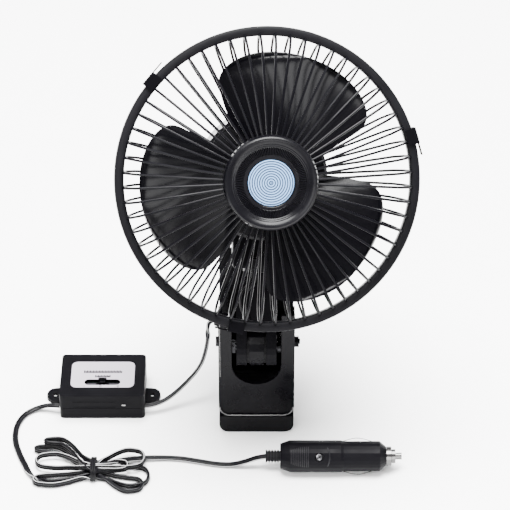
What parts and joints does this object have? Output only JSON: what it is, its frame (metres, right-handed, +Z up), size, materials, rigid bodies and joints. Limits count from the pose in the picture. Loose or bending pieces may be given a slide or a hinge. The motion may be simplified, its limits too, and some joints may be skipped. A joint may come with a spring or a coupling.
{
  "type": "clip-on vehicle fan",
  "caption": "Clip-on fan with a sprung clamp, tilting neck, turning caged head, in-line speed controller and lighter plug on a flat cord.",
  "frame": {"origin": "on the surface the clamp's foot stands on, 15 mm behind its front edge, on the middle plane of the clamp", "axes": "+X to the right seen from the front, +Y to the back, +Z up"},
  "size_m": [0.2781, 0.1869, 0.2886],
  "materials": {
    "black_plastic": "satin, fine moulded texture",
    "black_gloss": "gloss",
    "guard_black": "satin",
    "black_sheet_metal": "black coated",
    "bright_steel": "bright nickel",
    "brass": "plain",
    "copper": "wound copper",
    "blue_badge": "satin film",
    "label_film": "satin film",
    "rubber": "matte",
    "cord": "satin",
    "board": "matt",
    "lamp_lens": "clear",
    "ferrite": "matt"
  },
  "bodies": {
    "clamp": {"clamp_rear_shell": "black_plastic", "clamp_rear_pad": "rubber", "clamp_hinge_pin": "bright_steel", "clamp_hinge_nut": "bright_steel", "clamp_spring": "bright_steel", "tilt_bolt": "bright_steel", "tilt_nut": "bright_steel", "cord_grommet": "rubber", "cord_fan_to_controller": "cord", "controller_base": "black_plastic", "controller_cover": "black_plastic", "controller_label": "label_film", "circuit_board": "board", "switch_frame": "bright_steel", "indicator_lamp": "lamp_lens", "case_screw_left": "bright_steel", "case_screw_right": "bright_steel", "cord_to_hank": "cord", "cord_hank": "cord", "hank_tie": "black_plastic", "cord_to_plug": "cord", "plug_boot": "rubber", "plug_shell_upper": "black_plastic", "plug_shell_lower": "black_plastic", "plug_nose_ring": "bright_steel", "plug_spring": "bright_steel", "plug_screw": "bright_steel"},
    "front_jaw": {"clamp_front_shell": "black_plastic", "clamp_front_pad": "rubber"},
    "neck": {"neck_arm": "black_plastic", "friction_washer_left": "rubber", "friction_washer_right": "rubber", "pan_pin": "bright_steel"},
    "head": {"motor_rear_cover": "black_plastic", "motor_front_housing": "black_plastic", "motor_can": "bright_steel", "motor_magnet_ring": "ferrite", "motor_end_card": "board", "bearing_front": "brass", "bearing_rear": "brass", "cable_gland": "black_gloss", "motor_lead": "cord", "rear_guard": "guard_black", "rear_guard_nut": "black_plastic", "front_guard": "guard_black", "hub_cap": "black_plastic", "hub_badge": "blue_badge"},
    "rotor": {"motor_shaft": "bright_steel", "armature": "copper", "fan_blade": "black_gloss", "blade_nut": "black_plastic"},
    "clip_1": {"guard_clip_1": "black_sheet_metal"},
    "clip_2": {"guard_clip_2": "black_sheet_metal"},
    "clip_3": {"guard_clip_3": "black_sheet_metal"},
    "knob": {"switch_knob": "black_plastic"},
    "tip": {"plug_tip": "bright_steel", "plug_fuse": "brass"},
    "contact_front": {"plug_contact_front": "bright_steel"},
    "contact_back": {"plug_contact_back": "bright_steel"}
  },
  "joints": [
    {"name": "clamp_open", "type": "hinge", "parent": "clamp", "child": "front_jaw", "pos_m": [0, 0.014, 0.058], "axis": [-1, 0, 0], "range_deg": [0, 20], "stiffness_Nm_per_rad": 0.6, "springref_deg": -28.65, "deforming": ["clamp_spring"]},
    {"name": "neck_tilt", "type": "hinge", "parent": "clamp", "child": "neck", "pos_m": [0, -0.006, 0.07], "axis": [1, 0, 0], "range_deg": [-5.5, 74]},
    {"name": "head_turn", "type": "hinge", "parent": "neck", "child": "head", "pos_m": [0.0032, 0.05913, 0.1684], "axis": [0, 0.5519, 0.8339], "range_deg": [-48.5, 41.5], "deforming": ["motor_lead"]},
    {"name": "blade_spin", "type": "hinge", "parent": "head", "child": "rotor", "pos_m": [0.0032, 0.05913, 0.1684], "axis": [0.061, -0.8323, 0.5509], "continuous": true},
    {"name": "clip_1_open", "type": "hinge", "parent": "head", "child": "clip_1", "pos_m": [0.10384, 0.03357, 0.21992], "axis": [-0.2835, 0.5147, 0.8091], "range_deg": [0, 75]},
    {"name": "clip_2_open", "type": "hinge", "parent": "head", "child": "clip_2", "pos_m": [-0.07051, 0.04517, 0.25677], "axis": [-0.6482, -0.4528, -0.6122], "range_deg": [0, 75]},
    {"name": "clip_3_open", "type": "hinge", "parent": "head", "child": "clip_3", "pos_m": [-0.01448, -0.04324, 0.11698], "axis": [0.9763, -0.065, -0.2063], "range_deg": [0, 75]},
    {"name": "speed_switch", "type": "slide", "parent": "clamp", "child": "knob", "axis": [1, 0, 0], "range_m": [-0.008, 0.008]},
    {"name": "plug_tip_press", "type": "slide", "parent": "clamp", "child": "tip", "axis": [-1, 0, 0], "range_m": [0, 0.003], "stiffness_N_per_m": 300, "springref_m": -0.01, "deforming": ["plug_spring"]},
    {"name": "contact_front_press", "type": "slide", "parent": "clamp", "child": "contact_front", "axis": [0, 0.6225, 0.7826], "range_m": [0, 0.002], "stiffness_N_per_m": 400, "springref_m": -0.002},
    {"name": "contact_back_press", "type": "slide", "parent": "clamp", "child": "contact_back", "axis": [0, -0.6225, -0.7826], "range_m": [0, 0.002], "stiffness_N_per_m": 400, "springref_m": -0.002}
  ]
}
